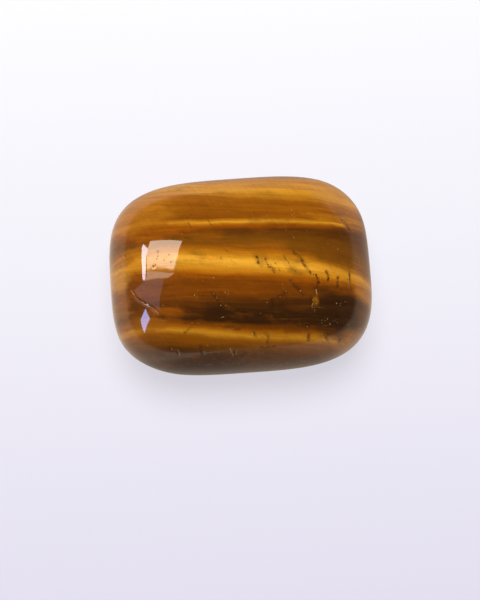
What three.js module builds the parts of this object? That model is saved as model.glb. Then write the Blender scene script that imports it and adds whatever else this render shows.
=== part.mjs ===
// A tumbled and polished tiger's eye pebble: one solid piece of stone.
// Millimetres, +Z up. It lies on the worn flat of its underside, with the origin at the bottom
// centre of its box, +X along the stone and +Y across its seams.
import * as THREE from "three";
import { mergeVertices } from "three/addons/utils/BufferGeometryUtils.js";

// Driving dimensions of the rough blank before its flats are worn
const length = 30;
const width = 22.4;
const crownRise = 8.2; // waist to the top of the dome
const keelDrop = 8.2; // waist to the lowest point of the unworn underside

// How square the blank is: 2 is an ellipse, and larger is closer to a rectangle
const planSquareness = 3.5;
const edgeSquareness = 2.3; // in the upright sections

// How far the blank is from a regular form
const thickeningAlong = 0.04; // share of the height that is gained from the middle to the +X end
const leanAcross = 0.03; // sideways lean of the walls, for each millimetre of height

// Flats that tumbling wore on the blank. The last one is the face that the stone rests on.
const wornFlats = [
  { towards: [0.58, 0.56, -0.6], depth: 0.5, blend: 1.6 },
  { towards: [-0.52, -0.6, -0.61], depth: 0.45, blend: 1.6 },
  { towards: [0.62, 0.42, 0.66], depth: 0.3, blend: 1.2 },
  { towards: [0, 0, -1], depth: 1.2, blend: 0.75 },
];

// The largest pits left open on the crown, by their place in plan
const pits = [
  { name: "shell chip", x: -9.6, y: -4.9, radius: 1.6, depth: 0.22 },
  { name: "gold pocket", x: 8.2, y: -5.1, radius: 1.2, depth: 0.2 },
  { name: "front pit", x: -1.0, y: -9.3, radius: 1.0, depth: 0.2 },
  { name: "seam pit", x: 2.5, y: -8.5, radius: 1.1, depth: 0.18 },
];

// Facets along the length, width and height
const facets = { along: 36, across: 28, up: 16 };

const polishedStone = new THREE.MeshStandardMaterial({
  color: 0x8a4f12,
  roughness: 0.12,
  metalness: 0,
});

// A closed box of small facets, with one vertex at each corner point
function facetedBox() {
  const box = new THREE.BoxGeometry(
    length,
    width,
    crownRise + keelDrop,
    facets.along,
    facets.across,
    facets.up,
  );
  box.deleteAttribute("normal");
  box.deleteAttribute("uv");
  return mergeVertices(box);
}

// Moves a point of the box along its ray from the middle until it lies on the superellipsoid blank.
function roundToBlank(point) {
  const halfHeight = point.z > 0 ? crownRise : keelDrop;
  const alongShare = Math.abs((2 * point.x) / length) ** planSquareness;
  const acrossShare = Math.abs((2 * point.y) / width) ** planSquareness;
  const plan = (alongShare + acrossShare) ** (edgeSquareness / planSquareness);
  const upright = Math.abs(point.z / halfHeight) ** edgeSquareness;
  point.multiplyScalar((plan + upright) ** (-1 / edgeSquareness));
}

// Thickens the blank towards one end and leans its walls.
function makeIrregular(point) {
  point.z *= 1 + (thickeningAlong * 2 * point.x) / length;
  point.y += leanAcross * point.z;
}

// Presses every point that stands past a plane back to it, with a soft edge of the blend's width.
function wearFlat(points, { towards, depth, blend }) {
  const normal = new THREE.Vector3(...towards).normalize();
  const reach = Math.max(...points.map((point) => point.dot(normal))) - depth;
  for (const point of points) {
    const past = point.dot(normal) - reach;
    const edge = Math.max(blend - Math.abs(past), 0) / blend;
    const kept = Math.min(past, 0) - (edge * edge * blend) / 4;
    point.addScaledVector(normal, kept - past);
  }
}

// Lowers the crown in a shallow round hollow.
function openPit(points, { x, y, radius, depth }) {
  for (const point of points) {
    const share = Math.hypot(point.x - x, point.y - y) / radius;
    if (point.z > 0 && share < 1) point.z -= depth * (1 - share * share) ** 2;
  }
}

// The whole stone, set down with its box centred over the origin
function stoneGeometry() {
  const geometry = facetedBox();
  const position = geometry.getAttribute("position");
  const points = Array.from({ length: position.count }, (_, i) =>
    new THREE.Vector3().fromBufferAttribute(position, i),
  );
  points.forEach(roundToBlank);
  points.forEach(makeIrregular);
  pits.forEach((pit) => openPit(points, pit));
  wornFlats.forEach((flat) => wearFlat(points, flat));
  geometry.setFromPoints(points);
  geometry.computeBoundingBox();
  const { min, max } = geometry.boundingBox;
  geometry.translate(-(min.x + max.x) / 2, -(min.y + max.y) / 2, -min.z);
  geometry.computeVertexNormals();
  return geometry;
}

const stone = new THREE.Mesh(stoneGeometry(), polishedStone);
stone.name = "tigers_eye";

const part = new THREE.Group();
part.add(stone);

export default part;
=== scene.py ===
import math

import bpy
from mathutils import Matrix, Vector


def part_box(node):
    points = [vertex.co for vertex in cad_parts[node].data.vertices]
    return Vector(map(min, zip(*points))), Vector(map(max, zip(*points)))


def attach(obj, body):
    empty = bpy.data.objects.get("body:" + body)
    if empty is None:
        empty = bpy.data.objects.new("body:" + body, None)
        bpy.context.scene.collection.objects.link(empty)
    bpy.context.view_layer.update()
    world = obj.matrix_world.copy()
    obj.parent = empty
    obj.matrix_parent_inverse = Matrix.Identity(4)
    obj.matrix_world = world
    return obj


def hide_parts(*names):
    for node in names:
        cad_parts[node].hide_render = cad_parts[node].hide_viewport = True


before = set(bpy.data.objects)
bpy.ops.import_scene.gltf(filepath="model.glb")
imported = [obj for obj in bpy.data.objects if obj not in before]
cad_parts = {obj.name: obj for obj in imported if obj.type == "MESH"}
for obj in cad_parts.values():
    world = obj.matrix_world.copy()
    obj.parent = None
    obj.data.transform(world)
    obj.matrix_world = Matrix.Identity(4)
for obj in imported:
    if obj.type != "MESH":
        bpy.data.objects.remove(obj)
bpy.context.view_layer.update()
mm = 0.001  # lengths below are in millimetres, and Blender's objects are in metres
low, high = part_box("tigers_eye")
boxSides = [round(side / mm, 2) for side in high - low]
print("frame loaded,", len(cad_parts), "node, box in mm:", boxSides)


# The wrapped socket: shape and shader maths are both written with it
class Wire:
    def __init__(self, tree, socket=None):
        self.tree = tree
        self.socket = socket

    def node(self, kind, settings=None, sockets=None, out=0):
        made = self.tree.nodes.new(kind)
        for name, value in (settings or {}).items():
            if name == "stops":
                fillRamp(made.color_ramp, value)
            else:
                setattr(made, name, value)
        for name, value in (sockets or {}).items():
            if isinstance(value, Wire):
                self.tree.links.new(value.socket, made.inputs[name])
            elif isinstance(value, list):
                for each in value:
                    self.tree.links.new(each.socket, made.inputs[name])
            else:
                made.inputs[name].default_value = value
        return Wire(self.tree, made.outputs[out] if made.outputs else None)

    # Another output of the same node
    def also(self, out):
        return Wire(self.tree, self.socket.node.outputs[out])

    def maths(self, operation, *values):
        return self.node("ShaderNodeMath", {"operation": operation}, dict(enumerate(values)))

    def vector(self, operation, *values):
        return self.node("ShaderNodeVectorMath", {"operation": operation}, dict(enumerate(values)))

    def __add__(self, other):
        return self.maths("ADD", self, other)

    def __radd__(self, other):
        return self.maths("ADD", other, self)

    def __sub__(self, other):
        return self.maths("SUBTRACT", self, other)

    def __rsub__(self, other):
        return self.maths("SUBTRACT", other, self)

    def __mul__(self, other):
        return self.maths("MULTIPLY", self, other)

    def __rmul__(self, other):
        return self.maths("MULTIPLY", other, self)

    def __truediv__(self, other):
        return self.maths("DIVIDE", self, other)

    def __rtruediv__(self, other):
        return self.maths("DIVIDE", other, self)

    def __pow__(self, other):
        return self.maths("POWER", self, other)

    def __rpow__(self, other):
        return self.maths("POWER", other, self)

    def __neg__(self):
        return self.maths("MULTIPLY", self, -1.0)

    def __abs__(self):
        return self.maths("ABSOLUTE", self)

    def least(self, other):
        return self.maths("MINIMUM", self, other)

    def most(self, other):
        return self.maths("MAXIMUM", self, other)

    # 0 at one value and 1 at the other, with soft ends
    def rise(self, start, end):
        sockets = {"Value": self, "From Min": start, "From Max": end}
        return self.node("ShaderNodeMapRange", {"interpolation_type": "SMOOTHSTEP"}, sockets)

    # A number from 0 to 1, spread over a range
    def ranged(self, start, end):
        return self * (end - start) + start

    def scaled(self, factor):
        return self.node("ShaderNodeVectorMath", {"operation": "SCALE"}, {"Vector": self, "Scale": factor})

    def parts(self):
        split = self.node("ShaderNodeSeparateXYZ", None, {"Vector": self})
        return [split.also(axis) for axis in "XYZ"]

    def joined(self, x, y, z):
        return self.node("ShaderNodeCombineXYZ", None, {"X": x, "Y": y, "Z": z})

    # This colour, with another laid over it by a share from 0 to 1
    def under(self, share, colour):
        sockets = {"Factor": share, 6: self, 7: colour}
        return self.node("ShaderNodeMix", {"data_type": "RGBA"}, sockets, out=2)

    def noise(self, scale, detail=2.0, roughness=0.5):
        sockets = {"Vector": self, "Scale": scale, "Detail": detail, "Roughness": roughness}
        return self.node("ShaderNodeTexNoise", None, sockets)


def fillRamp(ramp, stops):
    while len(ramp.elements) < len(stops):
        ramp.elements.new(1.0)
    for element, (place, colour) in zip(ramp.elements, stops):
        element.position = place
        element.color = colour


# A colour as it looks on a screen, from 0 to 255, turned to the renderer's own scale
def tone(red, green, blue):
    shares = [part / 255 for part in (red, green, blue)]
    return tuple(s / 12.92 if s <= 0.04045 else ((s + 0.055) / 1.055) ** 2.4 for s in shares) + (1.0,)


def newMaterial(name):
    made = bpy.data.materials.new(name)
    made.use_nodes = True
    made.node_tree.nodes.clear()
    return made, Wire(made.node_tree)


def newObject(name, data):
    made = bpy.data.objects.new(name, data)
    bpy.context.scene.collection.objects.link(made)
    return made


# Camera, over the front of the stone and looking steeply down
shot = {
    "azimuth": -94.1,  # in degrees from +X, and the front is at -90
    "elevation": 77.0,
    "distance": 191.5,
    "aim": (-0.24, -2.98, 7.5),
    "lens": 100.0,
    "nearest": 10.0,  # what is closer isn't drawn
}


def towards(azimuth, elevation):
    turn = math.radians(azimuth)
    lift = math.radians(elevation)
    return Vector((math.cos(turn) * math.cos(lift), math.sin(turn) * math.cos(lift), math.sin(lift)))


def placeCamera():
    back = towards(shot["azimuth"], shot["elevation"])
    camera = newObject("photoCamera", bpy.data.cameras.new("photoCamera"))
    camera.data.lens = shot["lens"]
    camera.data.clip_start = shot["nearest"] * mm
    camera.location = (Vector(shot["aim"]) + back * shot["distance"]) * mm
    camera.rotation_euler = (-back).to_track_quat("-Z", "Y").to_euler()
    bpy.context.scene.camera = camera


placeCamera()
print("camera placed")

# Run of the seams. Those at 0 are the brightest, and places across them count towards the back.
seams = {
    "drop": 0.12,  # how much further forward a seam lies, for each millimetre down
    "slope": 0.105,  # and for each millimetre along the stone
    "bow": 0.004,  # how much a seam bends back towards its ends
    "droop": 1.2,  # how far the ends of the middle seams then turn forward
    "droopPower": 4.0,  # larger keeps that closer to the ends
    "droopEdge": (3.5, 0.5),  # across the seams, where it starts and is full
    "fan": 0.045,  # how much neighbouring seams spread and close along the stone
    "fanWave": 8.2,
    "fanShift": 0.5,
    "fanEdge": (-7.0, -3.0),
    "waver": 0.5,  # slow bends
    "ripple": 0.35,  # small bends
    "sway": 5.0,  # wide bends low on the sides
    "swayEdge": (7.5, 1.5),
    "front": -13.0,  # range of the stops below
    "back": 13.0,
    "patchShift": 30.0,  # along the stone, to a part of the noise that suits it
    "fibreLean": 0.5,  # how far the fibres across the seams lean
    "grainEdge": (0.55, 0.95),  # how squarely a wall faces the front or back to show the fibres' ends
    "threadEdge": (0.45, 0.7),  # of the patches that have golden threads
    "cloudFull": 0.35,  # share of a cloud's reach that is full
    "cloudDrift": 1.2,  # how uneven its edge is
}
tones = {
    "goldAndSheen": tone(244, 172, 50),
    "gold": tone(218, 148, 34),
    "honey": tone(196, 122, 18),
    "amber": tone(164, 94, 10),
    "rust": tone(156, 80, 2),
    "sienna": tone(140, 76, 6),
    "chestnut": tone(122, 62, 4),
    "olive": tone(114, 66, 8),
    "umber": tone(92, 48, 8),
    "dusk": tone(58, 32, 8),
    "tan": tone(226, 180, 112),
    "soot": tone(38, 20, 8),
}
# The brightest gold bands, those around 0 above all, are partly the stone's gold and partly painted
# chatoyant sheen
seamStops = [
    (-12.0, "sienna"), (-11.3, "dusk"), (-9.9, "umber"), (-9.3, "olive"), (-8.45, "amber"),
    (-8.0, "gold"), (-7.6, "amber"), (-7.25, "chestnut"), (-6.8, "dusk"), (-5.6, "dusk"),
    (-4.7, "umber"), (-3.8, "chestnut"), (-2.6, "chestnut"), (-2.0, "rust"), (-1.5, "honey"),
    (-1.0, "gold"), (-0.6, "goldAndSheen"), (-0.25, "goldAndSheen"), (0.1, "gold"), (0.5, "honey"),
    (0.95, "amber"), (2.4, "olive"), (3.3, "umber"), (3.9, "rust"), (4.35, "gold"),
    (4.8, "sienna"), (7.4, "amber"), (8.6, "gold"), (10.7, "honey"), (11.2, "sienna"),
    (11.8, "gold"), (12.4, "chestnut"),
]
# Soft clouds over the seams: their middle and reach along the stone and across the seams
clouds = [
    {"tone": "dusk", "middle": (10.5, -5.5), "reach": (8.3, 3.0), "share": 0.9},
    {"tone": "olive", "middle": (11.0, 1.9), "reach": (7.0, 2.3), "share": 0.85},
    {"tone": "umber", "middle": (12.5, 3.0), "reach": (5.0, 1.3), "share": 0.8},
    {"tone": "honey", "middle": (11.5, 5.3), "reach": (5.0, 1.0), "share": 0.6},
    {"tone": "chestnut", "middle": (-9.5, -5.2), "reach": (6.0, 2.2), "share": 0.6},
    {"tone": "amber", "middle": (-11.0, -7.4), "reach": (5.5, 1.0), "share": 0.7},
    {"tone": "rust", "middle": (-9.5, 3.4), "reach": (6.5, 1.7), "share": 0.9},
    {"tone": "honey", "middle": (-12.0, 6.2), "reach": (6.5, 3.4), "share": 0.65},
    {"tone": "honey", "middle": (-11.5, 0.2), "reach": (5.0, 1.8), "share": 0.75},
    {"tone": "honey", "middle": (11.8, -1.0), "reach": (4.5, 1.5), "share": 0.65},
    {"tone": "sienna", "middle": (-8.5, -8.9), "reach": (6.0, 1.0), "share": 0.6},
    {"tone": "dusk", "middle": (-5.0, -10.3), "reach": (9.0, 1.1), "share": 0.5},
    {"tone": "gold", "middle": (-8.0, 10.0), "reach": (5.0, 1.6), "share": 0.7},
    {"tone": "olive", "middle": (5.5, -9.8), "reach": (9.0, 1.3), "share": 0.8},
    {"tone": "honey", "middle": (14.3, -3.1), "reach": (2.6, 1.8), "share": 0.8},
    {"tone": "honey", "middle": (8.0, -4.7), "reach": (0.6, 0.7), "share": 0.55},
    {"tone": "gold", "middle": (-14.2, -1.9), "reach": (2.2, 1.7), "share": 0.7},
    {"tone": "amber", "middle": (-14.0, -5.3), "reach": (2.2, 2.6), "share": 0.6},
    {"tone": "chestnut", "middle": (14.0, -6.2), "reach": (2.0, 2.4), "share": 0.5},
    {"tone": "chestnut", "middle": (13.9, 4.2), "reach": (2.6, 1.0), "share": 0.7},
    {"tone": "rust", "middle": (-8.5, -6.2), "reach": (3.2, 0.9), "share": 0.6},
    {"tone": "honey", "middle": (12.8, -7.5), "reach": (2.3, 1.3), "share": 0.8},
    {"tone": "sienna", "middle": (-3.4, 2.8), "reach": (2.8, 0.9), "share": 0.7},
    {"tone": "olive", "middle": (2.2, 0.2), "reach": (1.1, 1.2), "share": 0.3},
    {"tone": "umber", "middle": (6.2, -4.8), "reach": (2.0, 1.1), "share": 0.6},
    {"tone": "umber", "middle": (5.9, -7.2), "reach": (3.2, 0.7), "share": 0.6},
    {"tone": "amber", "middle": (11.6, -1.8), "reach": (2.6, 0.9), "share": 0.6},
    {"tone": "amber", "middle": (-13.2, -0.1), "reach": (1.8, 1.1), "share": 0.6},
]
# Noises: cells to the millimetre along the stone, across it and up, then detail and roughness
noises = {
    "waver": ((0.09, 0.25, 0.25), 3.0, 0.5),
    "ripple": ((0.4, 0.9, 0.9), 3.0, 0.5),
    "sway": ((0.13, 0.13, 0.2), 2.0, 0.5),
    "blotch": ((0.35, 0.9, 0.5), 5.0, 0.6),
    "patch": ((0.3, 0.5, 0.3), 3.0, 0.5),
    "drift": ((0.3, 0.6, 0.3), 4.0, 0.6),
    "grain": ((0.9, 0.3, 1.5), 5.0, 0.65),
    "thread": ((0.16, 4.5, 0.4), 4.0, 0.6),
    "streak": ((0.12, 1.8, 0.3), 4.0, 0.6),
    "fibre": ((4.0, 0.35, 0.35), 3.0, 0.6),
}
# How far some of them lighten and darken the stone
brightness = {"streak": 1.0, "fibre": 0.28, "blotch": 0.4, "thread": 0.45}
# Tones laid over the seams, from where a noise or a gap in millimetres starts them to where they are full
washes = {
    "rustBlotch": {"tone": "rust", "edge": (0.5, 0.75), "share": 0.35},
    "darkPatch": {"tone": "umber", "edge": (0.42, 0.2), "share": 0.5},
    "paleGrain": {"tone": "sienna", "edge": (0.48, 0.72), "share": 0.5},
    "darkGrain": {"tone": "umber", "edge": (0.46, 0.3), "share": 0.4},
    "goldThread": {"tone": "honey", "edge": (0.55, 0.75), "share": 0.2},
    "slitStain": {"tone": "umber", "edge": (0.34, 0.05), "share": 0.5},
    "fleckStain": {"tone": "soot", "edge": (0.3, 0.1), "share": 0.35},
}


# One of the noises, over a place in millimetres
def silkNoise(start, name, *place):
    cells, detail, roughness = noises[name]
    return start.joined(*[part * each for part, each in zip(place, cells)]).noise(1.0, detail, roughness)


# A colour with one of the washes on it, led by a noise or a gap
def washed(colour, name, lead, mask=1.0):
    wash = washes[name]
    return colour.under(lead.rise(*wash["edge"]) * (mask * wash["share"]), tones[wash["tone"]])


# Place across the seams, once their bends are taken out
def seamPlace(start, x, y, z):
    bends = {name: silkNoise(start, name, x, y, z) - 0.5 for name in ("waver", "ripple", "sway")}
    crown = (high.z - low.z) / mm
    seam = y + (crown - z) * seams["drop"] + x * seams["slope"] - x * x * seams["bow"]
    seam = seam + bends["waver"] * seams["waver"] + bends["ripple"] * seams["ripple"]
    seam = seam + bends["sway"] * z.rise(*seams["swayEdge"]) * seams["sway"]
    ends = (x * 2 / stoneForm["length"]) ** seams["droopPower"]
    seam = seam + ends * abs(seam).rise(*seams["droopEdge"]) * seams["droop"]
    spread = start.maths("COSINE", (seam + seams["fanShift"]) * (2 * math.pi / seams["fanWave"]))
    return seam + x * spread * seam.rise(*seams["fanEdge"]) * seams["fan"]


# Colour of the sound stone, and the noises that other parts of the material read too
def silkColour(start, x, y, z):
    across = seamPlace(start, x, y, z)
    span = seams["back"] - seams["front"]
    stops = [((at - seams["front"]) / span, tones[name]) for at, name in seamStops]
    colour = start.node("ShaderNodeValToRGB", {"stops": stops}, {"Fac": (across - seams["front"]) / span})

    noise = {name: silkNoise(start, name, x, across, z) for name in ("blotch", "drift", "thread", "streak")}
    noise["patch"] = silkNoise(start, "patch", x + seams["patchShift"], across, z)
    noise["grain"] = silkNoise(start, "grain", x, y, z)
    noise["fibre"] = silkNoise(start, "fibre", x + y * seams["fibreLean"], y, z)

    # Rust and shade in long blotches, then the clouds
    colour = washed(colour, "rustBlotch", noise["blotch"])
    colour = washed(colour, "darkPatch", noise["patch"])
    drift = (noise["drift"] - 0.5) * seams["cloudDrift"]
    for cloud in clouds:
        along = (x - cloud["middle"][0]) / cloud["reach"][0]
        over = (across - cloud["middle"][1]) / cloud["reach"][1]
        away = (along * along + over * over) ** 0.5 + drift
        colour = colour.under(away.rise(1.0, seams["cloudFull"]) * cloud["share"], tones[cloud["tone"]])

    # Mottled ends of the fibres, on the walls that lie along the seams
    normal = start.node("ShaderNodeNewGeometry", None, None, "Normal")
    wall = abs(normal.parts()[1]).rise(*seams["grainEdge"])
    colour = washed(colour, "paleGrain", noise["grain"], wall)
    colour = washed(colour, "darkGrain", noise["grain"], wall)

    # Golden threads and streaks along the seams, and fibres across them
    colour = washed(colour, "goldThread", noise["thread"], noise["patch"].rise(*seams["threadEdge"]))
    light = 1
    for name, share in brightness.items():
        light = light + (noise[name] - 0.5) * share
    return colour.scaled(light), noise


# Round specks: loose ones in patches and near the slits, and rows of them along the flaws; those beside the
# slits are painted glints
specks = {
    "sizes": (0.3, 1.0),
    "core": 0.4,  # share of a speck's radius inside its soft edge
    "loose": {"perMm": 2.6, "radius": 0.1, "luck": (0.5, 0.6)},  # those with less luck aren't there
    "patchCells": 0.4,
    "patchEdge": (0.46, 0.6),
    "slitEdge": (0.8, 0.4),  # in millimetres from the slits
    "darkShare": 0.4,  # of the loose ones
    "dark": 0.8,
    "pale": (-0.4, 0.8),  # by their luck, so that some are faint
    "rows": {"perMm": 5.0, "radius": 0.085, "luck": (0.3, 0.4)},
    "rowFull": 0.6,  # share of a row's width that is full
    "slitGlintRow": 1.5,  # width of the rows of painted glints beside the slits, against the others
    "slitGlintLuck": (0.75, 0.8),
    "rowPale": (0.3, 1.0),
}
# Lines along the flaws, of uneven width and with breaks
lineLook = {
    "exact": (0.35, 0.5),  # from here on the way to a flaw is only roughly known
    "detail": 3.0,
    "roughness": 0.6,
    "raggedEdge": (0.35, 0.7),
    "thinnest": 0.01,
    "full": 0.2,  # share of a line's width inside its soft edge
    "breakCells": 1.1,
    "breakEdge": (0.28, 0.6),
    "pitFull": 0.4,
    "sootCells": 2.8,
    "sootEdge": (0.42, 0.6),
    "stainEdge": (0.35, 0.6),  # of the blotches in which the slits have a stain
}
lineTones = {
    "hairline": ("umber", 0.7),
    "slit": ("umber", 0.8),
    "slitSoot": ("soot", 0.7),
    "chip": ("tan", 0.7),
    "pit": ("soot", 0.85),
}


# Way to the middle of the nearest flaw of a kind, in millimetres
def roughGap(start, name):
    return start.node("ShaderNodeAttribute", {"attribute_name": name + "Near"}, None, "Fac")


# The same, but exact beside the flaw and too large away from it
def flawGap(start, name):
    side = start.node("ShaderNodeAttribute", {"attribute_name": name}, None, "Vector")
    exact = start.node("ShaderNodeVectorMath", {"operation": "LENGTH"}, {"Vector": side}, "Value")
    return exact + roughGap(start, name).rise(*lineLook["exact"])


def brokenLine(gap, place, name):
    ragged = place.noise(flaws[name]["breaks"], lineLook["detail"], lineLook["roughness"])
    edge = ragged.rise(*lineLook["raggedEdge"]) * flaws[name]["width"] + lineLook["thinnest"]
    whole = place.noise(lineLook["breakCells"]).rise(*lineLook["breakEdge"])
    return gap.rise(edge, edge * lineLook["full"]) * whole


# Dots of several sizes, and two numbers from 0 to 1 that are each dot's own
def dots(start, place, kind):
    perMm = specks[kind]["perMm"]
    cells = start.node("ShaderNodeTexVoronoi", None, {"Vector": place, "Scale": perMm})
    luck, size, shade = cells.also("Color").parts()
    reach = size.ranged(*specks["sizes"]) * (specks[kind]["radius"] * perMm)
    return cells.also("Distance").rise(reach, reach * specks["core"]), luck, shade


# The same colour with the specks and flaws on it, and the lines of those flaws
def flawedColour(start, place, colour, blotch):
    gap = {name: flawGap(start, name) for name in flaws}

    # Loose specks, dark and pale
    dot, luck, shade = dots(start, place, "loose")
    patches = place.noise(specks["patchCells"]).rise(*specks["patchEdge"])
    patches = patches.most(roughGap(start, "slit").rise(*specks["slitEdge"]))
    dot = dot * luck.rise(*specks["loose"]["luck"]) * patches
    dark = start.maths("LESS_THAN", shade, specks["darkShare"])
    colour = colour.under(dot * dark * specks["dark"], tones["soot"])
    colour = colour.under(dot * (1 - dark) * luck.ranged(*specks["pale"]), tones["tan"])

    # Stains, cracks, chipped edges and pits
    colour = washed(colour, "slitStain", gap["slit"], blotch.rise(*lineLook["stainEdge"]))
    colour = washed(colour, "fleckStain", gap["fleck"])
    line = {name: brokenLine(gap[name], place, name) for name in ("hairline", "slit", "chip")}
    line["slitSoot"] = line["slit"] * place.noise(lineLook["sootCells"]).rise(*lineLook["sootEdge"])
    pitWidth = flaws["pit"]["width"]
    line["pit"] = gap["pit"].rise(pitWidth, pitWidth * lineLook["pitFull"])
    for name, (shadeName, share) in lineTones.items():
        colour = colour.under(line[name] * share, tones[shadeName])

    # Rows of specks along the flecks, and pale dots beside the slits that are painted glints
    dot, luck, shade = dots(start, place, "rows")
    rowWidth = flaws["fleck"]["width"]
    row = gap["fleck"].rise(rowWidth, rowWidth * specks["rowFull"]) * luck.rise(*specks["rows"]["luck"])
    slitGlints = gap["slit"].rise(rowWidth * specks["slitGlintRow"], rowWidth) * luck.rise(*specks["slitGlintLuck"])
    colour = colour.under(row.most(slitGlints) * dot * shade.ranged(*specks["rowPale"]), tones["tan"])
    return colour, line


# A clear polish over silky fibres
polish = {
    "roughness": 0.03,
    "ior": 1.54,
    "lost": 0.6,  # share of the polish that is gone in the flaws
    "silkRoughness": 0.4,
    "silkShine": 0.2,
    "crackRoughness": 0.3,  # what the cracks add to the silk's
    "fibreHeight": 0.02,
    "fibreRelief": 0.25,
}


def stoneMaterial():
    made, start = newMaterial("silkySeams")
    place = start.node("ShaderNodeTexCoord", None, None, "Object").scaled(1 / mm)
    colour, noise = silkColour(start, *place.parts())
    colour, line = flawedColour(start, place, colour, noise["blotch"])
    relief = start.node("ShaderNodeBump", None, {
        "Strength": polish["fibreRelief"], "Distance": mm, "Height": noise["fibre"] * polish["fibreHeight"],
    })
    shader = start.node("ShaderNodeBsdfPrincipled", None, {
        "Base Color": colour,
        "Roughness": polish["silkRoughness"] + line["slit"] * polish["crackRoughness"],
        "Specular IOR Level": polish["silkShine"],
        "Specular Tint": tones["gold"],
        "Normal": relief,
        "Coat Weight": 1 - line["slit"].most(line["chip"]).most(line["pit"]) * polish["lost"],
        "Coat Roughness": polish["roughness"],
        "Coat IOR": polish["ior"],
    })
    start.node("ShaderNodeOutputMaterial", None, {"Surface": shader})
    return made


# The stone's form: a blank with rounded sides, worn flat in a few places
stoneForm = {
    "length": (high.x - low.x) / mm,
    "width": (high.y - low.y) / mm,
    "height": 16.4,  # before the underside is worn flat
    "planSquareness": 3.5,  # 2 is an ellipse, and larger is closer to a rectangle
    "edgeSquareness": 2.3,
    "thickening": 0.04,  # share of the height gained towards the +X end
    "lean": 0.03,
    "boxHeight": 8.0,  # of the box of cells that is pressed to the form
    "evenness": 0.55,  # spacing of the cells at the crown, against their mean
    "cellsAlong": 216,
    "cellsAcross": 160,
    "cellsUp": 26,
}
wornFlats = [
    {"towards": (0.58, 0.56, -0.6), "depth": 0.5, "blend": 1.6},
    {"towards": (-0.52, -0.6, -0.61), "depth": 0.45, "blend": 1.6},
    {"towards": (0.62, 0.42, 0.66), "depth": 0.3, "blend": 1.2},
    {"towards": (0, 0, -1), "depth": 1.2, "blend": 0.75},
]

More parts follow.
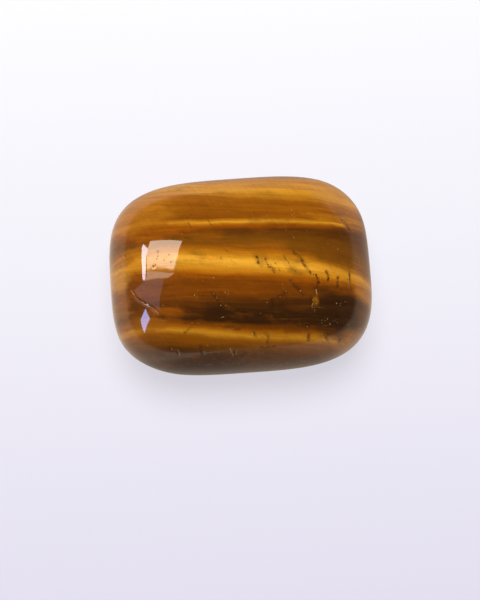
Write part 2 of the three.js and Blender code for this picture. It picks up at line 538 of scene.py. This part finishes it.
# Cracks, rows of specks, chipped edges and pits, as paths over the plan of the stone. Width and breaks
# are those of the drawn line, reach and depth those of its groove, and wobble is how far it wanders.
flaws = {
    "slit": {
        "width": 0.25, "breaks": 2.2, "reach": 0.25, "depth": 0.06, "wobble": 0.6, "scattered": 16,
        "paths": [
            [(1.8, 0.0), (1.9, -0.7), (2.3, -1.1)], [(2.7, -0.3), (3.1, -1.0), (3.7, -1.7)],
            [(6.7, -0.2), (7.1, -1.2), (7.7, -2.1)], [(9.5, -1.9), (9.7, -2.4), (9.5, -3.0)],
            [(10.8, -2.5), (10.6, -3.8)], [(12.1, -1.8), (12.1, -3.6)],
            [(8.3, -2.5), (8.5, -3.1), (8.2, -3.9)], [(2.2, -8.2), (2.5, -8.6), (2.4, -9.2)],
            [(8.9, -8.6), (9.3, -9.3)], [(7.0, -9.1), (7.1, -8.7)], [(1.0, -8.1), (1.1, -8.6)],
            [(7.7, -5.7), (7.8, -6.1)], [(-6.7, -7.6), (-6.0, -7.0)], [(-1.3, -9.7), (-1.3, -10.2)],
            [(10.6, -9.0), (10.5, -9.4)],
        ],
    },
    "hairline": {
        "width": 0.13, "breaks": 1.2, "reach": 0.2, "depth": 0.02, "wobble": 0.5, "scattered": 12,
        "paths": [
            [(-2.6, 0.4), (-2.2, -0.8)], [(-2.2, 0.4), (-1.5, -1.0)], [(-0.9, -0.2), (-0.5, -0.7)],
            [(3.8, -0.7), (4.3, -1.7)], [(4.6, 0.5), (5.1, -0.5), (5.7, -1.6), (6.0, -1.9)],
            [(-1.7, 1.1), (-0.9, 0.7)], [(5.9, 0.6), (6.7, -0.2)], [(5.3, -2.8), (6.7, -4.5)],
            [(-5.6, 4.9), (-5.3, 4.0)], [(-3.3, 4.8), (-2.9, 4.0)], [(1.4, 5.3), (1.3, 4.1)],
            [(-5.9, 3.0), (-4.9, 2.4)], [(11.6, 4.4), (12.2, 4.1), (12.5, 3.2)],
        ],
    },
    "fleck": {
        "width": 0.2, "reach": 0.25, "depth": 0.02, "wobble": 0.6, "scattered": 16,
        "paths": [
            [(3.2, -4.8), (3.1, -5.6)], [(3.9, -4.6), (4.7, -4.2)], [(7.5, -4.7), (8.2, -5.8)],
            [(10.4, -5.3), (11.6, -5.0)], [(10.5, -5.5), (11.5, -5.5)], [(8.5, -7.1), (8.6, -7.6)],
            [(9.5, -7.1), (9.5, -7.6)], [(10.4, -6.8), (10.3, -7.5)], [(5.0, -7.2), (7.1, -7.7)],
            [(5.7, -7.6), (6.8, -7.9)], [(-5.1, -9.0), (-4.9, -9.8)], [(0.0, -9.9), (-0.6, -10.2)],
            [(1.7, -9.5), (3.2, -9.5)], [(5.3, -2.8), (6.7, -4.5)], [(6.0, 0.4), (6.9, -0.6)],
            [(-3.4, -3.6), (-2.4, -5.2)], [(-2.0, -7.3), (-0.6, -7.7)], [(11.9, 4.2), (12.6, 3.3)],
        ],
    },
    "chip": {
        "width": 0.09, "breaks": 1.0, "reach": 0.2, "depth": 0.02, "wobble": 0.3, "scattered": 4,
        "paths": [
            [(-12.4, -2.1), (-12.1, -2.8), (-11.6, -3.4), (-10.8, -4.0), (-10.2, -4.4), (-9.5, -5.1)],
            [(8.2, -3.9), (8.2, -4.6)], [(7.8, -6.0), (7.9, -6.4)], [(-8.4, -8.8), (-8.3, -9.1)],
            [(-7.7, -9.1), (-7.4, -9.7)], [(-1.8, -9.5), (-1.5, -10.2)], [(-4.9, -3.1), (-4.9, -3.3)],
            [(-2.0, -3.6), (-1.9, -3.8)], [(-5.4, -3.6), (-5.4, -3.7)], [(-2.6, -6.3), (-2.3, -6.3)],
        ],
    },
    "pit": {
        "width": 0.09, "reach": 0.1, "depth": 0.005, "wobble": 0.1, "scattered": 0,
        "paths": [
            [(-9.15, 1.8), (-9.0, 1.8)], [(-9.15, 1.28), (-9.15, 1.2)], [(-9.3, 0.9), (-9.3, 0.95)],
            [(-9.7, 0.2), (-9.65, 0.05)], [(-7.9, 1.2), (-7.9, 1.25)], [(-8.45, 0.75), (-8.45, 0.7)],
            [(-7.7, 0.4), (-7.7, 0.35)], [(-12.8, 2.0), (-12.9, 2.1)],
        ],
    },
}
# How those paths are laid on the crown
tracing = {
    "bendCells": 1.6,
    "halvings": 3,  # of each length of a path, so that it can bend
    "dropFrom": 30.0,
    "dropReach": 50.0,
    "nearby": 1.0,  # farther than this from a flaw, the way to it isn't kept
    "farAway": 9.0,  # and this stands for it
}
# Flaws at random on the hidden sides
scatter = {
    "below": 8.0,  # they reach up to this height
    "length": 1.4,
    "sizes": (0.3, 1.2),  # against that length
    "points": 7,
    "along": (0.45, -1.0, 0.0),  # they lie across the seams, as the fibres do
    "twist": 0.7,  # radians to either side of that
    "seed": 7,
}


def flawLines(name):
    points, edges = [], []
    for path in flaws[name]["paths"]:
        edges += [(len(points) + i, len(points) + i + 1) for i in range(len(path) - 1)]
        points += [Vector((x, y, 0)) * mm for x, y in path]
    mesh = bpy.data.meshes.new(name + "Lines")
    mesh.from_pydata(points, edges, [])
    return newObject(name + "Lines", mesh)


def moved(mesh, position):
    return mesh.node("GeometryNodeSetPosition", None, {"Geometry": mesh, "Position": position})


def shifted(mesh, offset):
    return mesh.node("GeometryNodeSetPosition", None, {"Geometry": mesh, "Offset": offset})


# A box of cells, closer on the crown, with its points moved along their rays to a superellipsoid
def stoneBlank(start, ask):
    stone = start.node("GeometryNodeMeshCube", None, {
        "Size": start.joined(ask["length"], ask["width"], ask["boxHeight"]),
        "Vertices X": ask["cellsAlong"],
        "Vertices Y": ask["cellsAcross"],
        "Vertices Z": ask["cellsUp"],
    })
    position = start.node("GeometryNodeInputPosition")
    x, y, z = position.parts()
    alongShare = x * 2 / ask["length"]
    acrossShare = y * 2 / ask["width"]
    even = ask["evenness"]
    closerX = x * (even + (1 - even) * alongShare * alongShare)
    closerY = y * (even + (1 - even) * acrossShare * acrossShare)
    stone = moved(stone, start.joined(closerX, closerY, z))

    plan = abs(alongShare) ** ask["planSquareness"] + abs(acrossShare) ** ask["planSquareness"]
    upright = abs(z / (ask["height"] * 0.5)) ** ask["edgeSquareness"]
    reach = plan ** (ask["edgeSquareness"] / ask["planSquareness"]) + upright
    stone = moved(stone, position.scaled(reach ** (-1 / ask["edgeSquareness"])))

    thick = z * (1 + ask["thickening"] * x * 2 / ask["length"])
    return moved(stone, start.joined(x, y + thick * ask["lean"], thick))


# Points past a plane go back to it, with a soft edge
def wornTo(start, stone, flat):
    normal = Vector(flat["towards"]).normalized()
    blend = flat["blend"] * mm
    position = start.node("GeometryNodeInputPosition")
    ahead = start.vector("DOT_PRODUCT", position, normal).also("Value")
    sockets = {"Geometry": stone, "Attribute": ahead}
    farthest = start.node("GeometryNodeAttributeStatistic", None, sockets, "Max")
    past = ahead - (farthest - flat["depth"] * mm)
    edge = (blend - abs(past)).most(0.0) / blend
    kept = past.least(0.0) - edge * edge * blend / 4
    return shifted(stone, start.joined(*[(kept - past) * part for part in normal]))


# The box's middle goes over the origin, and its underside on to the floor
def settled(start, stone):
    corners = start.node("GeometryNodeBoundBox", None, {"Geometry": stone})
    lowX, lowY, lowZ = corners.also("Min").parts()
    highX, highY, _ = corners.also("Max").parts()
    return shifted(stone, start.joined((lowX + highX) * -0.5, (lowY + highY) * -0.5, -lowZ))


# Drawn paths wander a little, and drop on to the crown
def drawnLines(start, stone, drawing, bends):
    lines = start.node("GeometryNodeObjectInfo", None, {"Object": drawing}, "Geometry")
    lines = start.node("GeometryNodeSubdivideMesh", None, {"Mesh": lines, "Level": tracing["halvings"]})
    position = start.node("GeometryNodeInputPosition")
    above = (0.0, 0.0, tracing["dropFrom"] * mm)
    landed = start.node("GeometryNodeRaycast", None, {
        "Target Geometry": stone,
        "Source Position": start.vector("ADD", start.vector("ADD", position, bends), above),
        "Ray Direction": (0.0, 0.0, -1.0),
        "Ray Length": tracing["dropReach"] * mm,
    }, "Hit Position")
    return moved(lines, landed)


# Short sticks at random, which bend and then lie on the surface
def scatteredLines(start, stone, count, seed, bends):
    _, _, z = start.node("GeometryNodeInputPosition").parts()
    area = (stoneForm["length"] + stoneForm["width"]) * stoneForm["height"] * mm * mm
    spots = start.node("GeometryNodeDistributePointsOnFaces", None, {
        "Mesh": stone,
        "Selection": start.maths("LESS_THAN", z, scatter["below"] * mm),
        "Density": count / area,
        "Seed": seed,
    })
    turn = start.node("FunctionNodeAlignRotationToVector", {"axis": "X", "pivot_axis": "Z"}, {
        "Rotation": spots.also("Rotation"), "Vector": scatter["along"],
    })
    twist = start.node("FunctionNodeRandomValue", {"data_type": "FLOAT_VECTOR"}, {
        0: (0.0, 0.0, -scatter["twist"]), 1: (0.0, 0.0, scatter["twist"]), "Seed": scatter["seed"],
    })
    turn = start.node("FunctionNodeRotateRotation", {"rotation_space": "LOCAL"}, {
        "Rotation": turn, "Rotate By": twist,
    })
    half = scatter["length"] * mm / 2
    stick = start.node("GeometryNodeMeshLine", {"mode": "END_POINTS"}, {
        "Count": scatter["points"], "Start Location": (-half, 0.0, 0.0), "Offset": (half, 0.0, 0.0),
    })
    smallest, largest = scatter["sizes"]
    sizes = start.node("FunctionNodeRandomValue", None, {
        2: smallest, 3: largest, "Seed": scatter["seed"],
    }, 1)
    sticks = start.node("GeometryNodeInstanceOnPoints", None, {
        "Points": spots.also("Points"), "Instance": stick, "Rotation": turn, "Scale": sizes,
    })
    sticks = start.node("GeometryNodeRealizeInstances", None, {"Geometry": sticks})
    sticks = shifted(sticks, bends)
    skin = start.node("GeometryNodeProximity", {"target_element": "FACES"}, {0: stone}, "Position")
    return moved(sticks, skin)


# The way to the nearest line is kept for the material, and the surface sinks along it
def sunkAlong(start, stone, lines, name):
    nearest = start.node("GeometryNodeProximity", {"target_element": "EDGES"}, {0: lines})
    gap = nearest.also("Distance")
    position = start.node("GeometryNodeInputPosition")
    normal = start.node("GeometryNodeInputNormal")
    side = start.node("GeometryNodeSwitch", {"input_type": "VECTOR"}, {
        "Switch": start.maths("LESS_THAN", gap, tracing["nearby"] * mm),
        "False": normal.scaled(tracing["farAway"]),
        "True": start.vector("SUBTRACT", position, nearest.also("Position")).scaled(1 / mm),
    })
    for kept, kind, value in ((name, "FLOAT_VECTOR", side), (name + "Near", "FLOAT", gap / mm)):
        stone = start.node("GeometryNodeStoreNamedAttribute", {"data_type": kind, "domain": "POINT"}, {
            "Geometry": stone, "Name": kept, "Value": value,
        })
    depth = gap.rise(flaws[name]["reach"] * mm, 0.0) * (-flaws[name]["depth"] * mm)
    return shifted(stone, normal.scaled(depth))


def stoneTree(inputs):
    tree = bpy.data.node_groups.new("tumbledStone", "GeometryNodeTree")
    tree.interface.new_socket("Geometry", in_out="OUTPUT", socket_type="NodeSocketGeometry")
    given = {}
    for name, (kind, _) in inputs.items():
        socket = tree.interface.new_socket(name, in_out="INPUT", socket_type="NodeSocket" + kind)
        given[name] = socket.identifier
    entry = tree.nodes.new("NodeGroupInput")
    ask = {name: Wire(tree, entry.outputs[name]) for name in inputs}
    start = Wire(tree)

    stone = stoneBlank(start, ask)
    for flat in wornFlats:
        stone = wornTo(start, stone, flat)
    stone = settled(start, stone)

    place = start.node("GeometryNodeInputPosition").scaled(1 / mm)
    for order, (name, flaw) in enumerate(flaws.items()):
        bends = place.noise(tracing["bendCells"]).also("Color")
        bends = start.vector("SUBTRACT", bends, (0.5, 0.5, 0.5)).scaled(flaw["wobble"] * mm)
        drawn = drawnLines(start, stone, ask[name], bends)
        scattered = scatteredLines(start, stone, flaw["scattered"], scatter["seed"] + order, bends)
        lines = start.node("GeometryNodeJoinGeometry", None, {"Geometry": [drawn, scattered]})
        stone = sunkAlong(start, stone, lines, name)

    stone = start.node("GeometryNodeSetShadeSmooth", None, {"Geometry": stone})
    stone = start.node("GeometryNodeRealizeInstances", None, {"Geometry": stone})
    stone = start.node("GeometryNodeSetMaterial", None, {"Geometry": stone, "Material": ask["material"]})
    ending = tree.nodes.new("NodeGroupOutput")
    tree.links.new(stone.socket, ending.inputs["Geometry"])
    return tree, given


def makeStone():
    sizes = ("length", "width", "height", "boxHeight")
    shares = ("planSquareness", "edgeSquareness", "thickening", "lean", "evenness")
    counts = ("cellsAlong", "cellsAcross", "cellsUp")
    inputs = {name: ("Float", stoneForm[name] * mm) for name in sizes}
    inputs |= {name: ("Float", stoneForm[name]) for name in shares}
    inputs |= {name: ("Int", stoneForm[name]) for name in counts}
    inputs |= {name: ("Object", flawLines(name)) for name in flaws}
    inputs["material"] = ("Material", stoneMaterial())
    tree, given = stoneTree(inputs)

    stone = newObject("tumbledStone", bpy.data.meshes.new("tumbledStone"))
    shaping = stone.modifiers.new("tumbledStone", "NODES")
    shaping.node_group = tree
    for name, (_, value) in inputs.items():
        shaping[given[name]] = value
    graph = bpy.context.evaluated_depsgraph_get()
    plain = bpy.data.meshes.new_from_object(
        stone.evaluated_get(graph), preserve_all_data_layers=True, depsgraph=graph
    )
    stone.modifiers.remove(shaping)
    stone.data = plain
    for name in flaws:
        bpy.data.objects.remove(inputs[name][1])
    return stone


stone = makeStone()
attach(stone, "root")
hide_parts("tigers_eye")
print("stone made:", len(stone.data.polygons), "faces")

# Stage: a pale floor with a painted glow and a painted reflection, a soft light from behind, and panes that
# only the polish mirrors
stage = {
    "floorSide": 3000.0,
    "floorFront": tone(225, 221, 237),
    "floorBack": tone(251, 251, 254),
    "fade": 38.0,  # from the middle to where the floor has the one tone or the other
    "farEdge": (1.4, 6.0),  # times that, where it turns to the back's tone all round
    "floorRoughness": 0.8,
    "floorAlbedo": 0.26,
    "paintedFloorGlow": 0.76,  # painted glow that only the camera sees, which keeps the floor pale and its shadow light
    "paintedBounceGlow": 0.6,  # painted glow that only bounced light sees, which lights the stone's sides
    "paintedFloorReflection": (0.55, 0.43, 0.34),  # painted reflection: the warm floor that only the polish sees
    "frontShade": 0.36,  # painted shade: how much dimmer that is in front of the stone
    "shadeDepth": 4.0,  # how far under the stone the painted shade sets in
    "shadeFull": 0.6,  # share of the stone's length that has all of it
    "leftGlow": 0.75,  # and painted light: how much brighter it is to the sides
    "rightGlow": 0.3,
    "glowInside": 2.0,  # how far under the stone's ends the painted glow sets in
    "glowOutside": 4.0,  # and where it is full
    "rightEdge": (4.0, -4.0),  # the right one lies towards the front
    "sunStrength": 3.2,
    "sunAngle": 35.0,
    "sunAzimuth": 92.0,
    "sunElevation": 77.0,
    "paneDistance": 600.0,
    "paneMiddle": (0.0, 0.0, 8.0),
}
# The room past the floor, by the three parts of a direction in it
room = {
    "tones": [(0.04, (0.35, 0.28, 0.23)), (0.14, (0.06, 0.055, 0.055)), (0.5, (0.03, 0.03, 0.035))],
    "frontEdge": (-0.6, -0.95),
    "leftEdge": (-0.2, -0.6),
    "rightEdge": (0.2, 0.6),
    "rightFront": (0.3, -0.1),
}
# Corners of the panes are azimuths and heights in degrees, seen from the stone
panes = {
    "warmPane": {
        "corners": [(154.1, 37.8), (138.9, 58.7), (150.9, 58.6), (155.0, 56.0), (162.9, 35.2)],
        "light": (8.3, 7.3, 5.9),
    },
    "stripPane": {
        "corners": [(163.1, 35.1), (155.8, 56.8), (159.7, 52.8), (164.9, 33.3)],
        "light": (4.6, 3.9, 2.8),
    },
    "whitePane": {
        "corners": [
            (157.6, 31.2), (158.7, 37.5), (161.7, 35.0), (164.8, 32.8), (165.1, 29.9), (159.7, 30.1),
        ],
        "light": (12.5, 12.2, 13.8),
    },
    "bluePane": {
        "corners": [(182.0, 33.1), (196.8, 35.6), (210.2, 17.8), (191.7, 23.3)],
        "light": (4.9, 6.4, 12.5),
    },
    "dimPane": {
        "corners": [
            (165.2, 32.2), (161.4, 49.7), (173.6, 48.3), (196.1, 46.5), (179.4, 36.2), (169.1, 15.9),
        ],
        "light": (0.8, 0.75, 0.95),
    },
}


# How bright the polish mirrors what lies ahead of the stone and to its sides: painted shade ahead and
# painted light to the sides
def mirroredLight(ahead, left, right):
    sides = 1 + left * stage["leftGlow"] + right * stage["rightGlow"]
    return (1 - ahead * stage["frontShade"]) * sides


def floorMaterial():
    made, start = newMaterial("paleFloor")
    x, y, _ = start.node("ShaderNodeTexCoord", None, None, "Object").parts()
    fade = stage["fade"] * mm
    far = ((x * x + y * y) ** 0.5).rise(*[edge * fade for edge in stage["farEdge"]])
    share = ((y + fade) / (2 * fade)).most(0.0) + far
    stops = [(0.0, stage["floorFront"]), (1.0, stage["floorBack"])]
    colour = start.node("ShaderNodeValToRGB", {"stops": stops}, {"Fac": share})
    # Painted glow: the camera sees a glow that keeps the floor pale and its shadow light, and bounced light
    # sees one that lights the stone's sides
    rays = start.node("ShaderNodeLightPath")
    seen = rays.also("Is Camera Ray") * far.ranged(stage["paintedFloorGlow"], 1.0)
    bounced = rays.also("Is Diffuse Ray") * stage["paintedBounceGlow"]
    pale = start.node("ShaderNodeBsdfPrincipled", None, {
        "Base Color": colour.scaled((1 - far) * stage["floorAlbedo"]),
        "Roughness": stage["floorRoughness"],
        "Specular IOR Level": 0.0,
        "Emission Color": colour.scaled(seen + bounced),
        "Emission Strength": 1.0,
    })

    # Painted reflection: a warm glow on the floor that only the polish sees, dimmed by painted shade in
    # front of the stone and brightened by painted light to its sides
    inside = stage["glowInside"] * mm
    outside = stage["glowOutside"] * mm
    ahead = y.rise(low.y + stage["shadeDepth"] * mm, low.y)
    ahead = ahead * abs(x).rise(high.x, high.x * stage["shadeFull"])
    left = x.rise(low.x + inside, low.x - outside)
    right = x.rise(high.x - inside, high.x + outside) * y.rise(*[edge * mm for edge in stage["rightEdge"]])
    warm = start.joined(*stage["paintedFloorReflection"]).scaled(mirroredLight(ahead, left, right))
    glow = start.node("ShaderNodeEmission", None, {"Color": warm})
    shader = start.node("ShaderNodeMixShader", None, {"Fac": rays.also("Is Glossy Ray"), 1: pale, 2: glow})
    start.node("ShaderNodeOutputMaterial", None, {"Surface": shader})
    return made


def makeFloor():
    half = stage["floorSide"] * mm / 2
    corners = [(-half, -half, 0), (half, -half, 0), (half, half, 0), (-half, half, 0)]
    mesh = bpy.data.meshes.new("floor")
    mesh.from_pydata(corners, [], [range(len(corners))])
    mesh.materials.append(floorMaterial())
    newObject("floor", mesh)


def makePane(name, pane):
    middle = Vector(stage["paneMiddle"])
    points = [(middle + towards(*corner) * stage["paneDistance"]) * mm for corner in pane["corners"]]
    mesh = bpy.data.meshes.new(name)
    mesh.from_pydata(points, [], [range(len(points))])
    made, start = newMaterial(name)
    glow = start.node("ShaderNodeEmission", None, {"Color": (*pane["light"], 1.0)})
    start.node("ShaderNodeOutputMaterial", None, {"Surface": glow})
    mesh.materials.append(made)
    card = newObject(name, mesh)
    card.visible_camera = False
    card.visible_diffuse = False
    card.visible_shadow = False


def makeSun():
    lamp = bpy.data.lights.new("softSun", "SUN")
    lamp.energy = stage["sunStrength"]
    lamp.angle = math.radians(stage["sunAngle"])
    sun = newObject("softSun", lamp)
    back = towards(stage["sunAzimuth"], stage["sunElevation"])
    sun.rotation_euler = back.to_track_quat("Z", "Y").to_euler()
    sun.visible_glossy = False


def makeWorld():
    world = bpy.data.worlds.new("paleRoom")
    world.use_nodes = True
    world.node_tree.nodes.clear()
    start = Wire(world.node_tree)
    x, y, z = start.node("ShaderNodeTexCoord", None, None, "Generated").parts()
    stops = [(at, (*colour, 1.0)) for at, colour in [(0.0, stage["paintedFloorReflection"])] + room["tones"]]
    right = x.rise(*room["rightEdge"]) * y.rise(*room["rightFront"])
    light = mirroredLight(y.rise(*room["frontEdge"]), x.rise(*room["leftEdge"]), right)
    mirrored = start.node("ShaderNodeValToRGB", {"stops": stops}, {"Fac": z}).scaled(light)
    seen = start.node("ShaderNodeLightPath", None, None, "Is Camera Ray")
    glow = start.node("ShaderNodeBackground", None, {"Color": mirrored.under(seen, stage["floorBack"])})
    start.node("ShaderNodeOutputWorld", None, {"Surface": glow})
    bpy.context.scene.world = world


makeFloor()
for name, pane in panes.items():
    makePane(name, pane)
makeSun()
makeWorld()
bpy.context.scene.view_settings.view_transform = "Standard"
print("stage lit")
